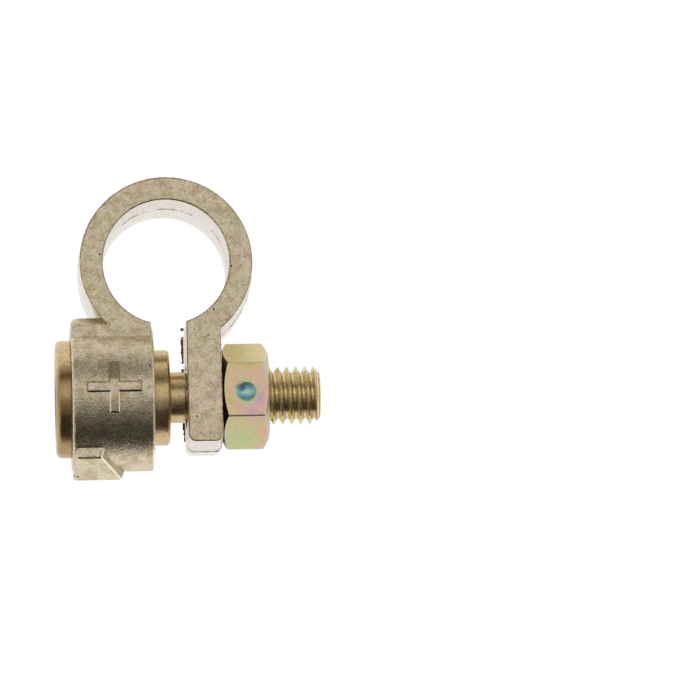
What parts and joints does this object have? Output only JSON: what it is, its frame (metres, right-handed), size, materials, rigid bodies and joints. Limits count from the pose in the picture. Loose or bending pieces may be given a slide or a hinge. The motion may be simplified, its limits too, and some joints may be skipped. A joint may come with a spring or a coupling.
{
  "type": "battery terminal clamp",
  "caption": "Cast brass battery terminal clamp: a split post ring drawn together by a turned cable stud and a hexagon nut, marked plus.",
  "frame": {"origin": "centre of the ring's bore, at the middle of its depth", "axes": "+Z along the battery post towards the side marked plus; +X along the cable stud towards its threaded end; +Y from the stud to the ring"},
  "size_m": [0.0367, 0.0415, 0.0206],
  "materials": {
    "cast_brass": "tumbled casting",
    "turned_brass": "bright turned",
    "zinc_plate": "yellow iridescent zinc plate"
  },
  "bodies": {
    "clamp_body": {"clamp_body": "cast_brass"},
    "cable_stud": {"cable_stud": "turned_brass"},
    "hex_nut": {"hex_nut": "zinc_plate"}
  },
  "joints": [
    {"name": "nut_turn", "type": "hinge", "parent": "clamp_body", "child": "hex_nut", "pos_m": [0.0107, -0.018, 0], "axis": [1, 0, 0], "range_deg": [0, 3600]},
    {"name": "stud_slide", "type": "slide", "parent": "clamp_body", "child": "cable_stud", "axis": [1, 0, 0], "range_m": [-0.0126, 0]}
  ],
  "couplings": [
    {"joint": "stud_slide", "follows": "nut_turn", "m_per_rad": -0.00019894}
  ]
}
